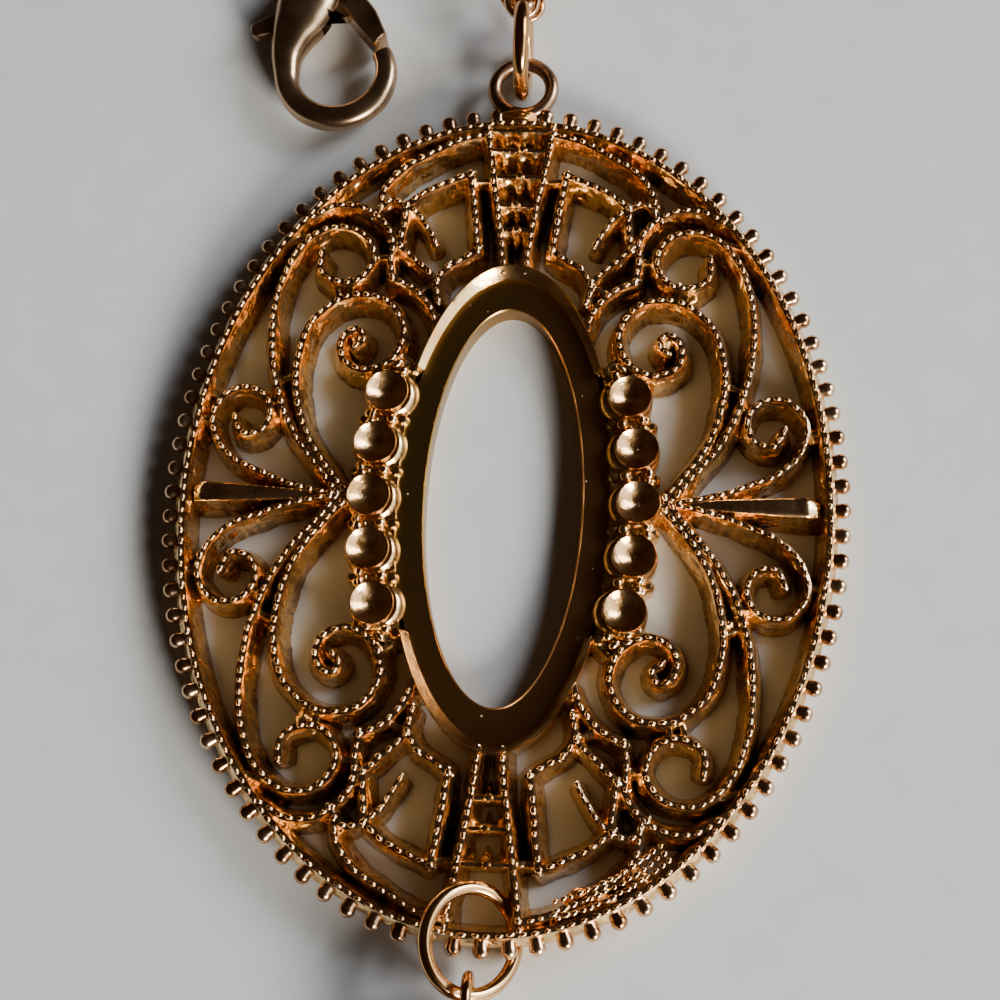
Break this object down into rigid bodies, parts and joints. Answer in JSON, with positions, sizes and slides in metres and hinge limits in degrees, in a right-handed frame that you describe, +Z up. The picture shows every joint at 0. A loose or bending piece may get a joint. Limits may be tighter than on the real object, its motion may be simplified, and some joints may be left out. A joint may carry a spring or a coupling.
{
  "type": "tassel necklace",
  "caption": "Long necklace: a large pierced oval medallion with a rim of pegs hangs from a fine chain with a lobster clasp, and a chain tassel hangs below it.",
  "frame": {"origin": "on the table, under the middle of the whole necklace's box as it lies", "axes": "+Z up from the table; +Y from the tassel towards the back of the neck; +X to the right as the medallion is seen from above"},
  "size_m": [0.1306, 0.2702, 0.0074],
  "materials": {
    "medallion_metal": "satin",
    "ring_metal": "satin",
    "chain_metal": "satin",
    "clasp_metal": "satin",
    "tassel_metal": "satin"
  },
  "bodies": {
    "necklace": {"medallion": "medallion_metal", "top_jump_ring": "ring_metal", "bottom_jump_ring": "ring_metal", "left_link": "chain_metal", "right_link": "chain_metal", "chain_left": "chain_metal", "chain_right": "chain_metal", "clasp_body": "clasp_metal", "clasp_ring": "ring_metal", "end_ring": "ring_metal", "tassel_cap": "tassel_metal", "tassel_strands": "tassel_metal"},
    "lever": {"clasp_lever": "clasp_metal"}
  },
  "joints": [
    {"name": "lever_hinge", "type": "hinge", "parent": "necklace", "child": "lever", "pos_m": [-0.01472, 0.0078, 0.0016], "axis": [0, 0, -1], "range_deg": [0, 22], "stiffness_Nm_per_rad": 0.01, "springref_deg": -11.46}
  ]
}
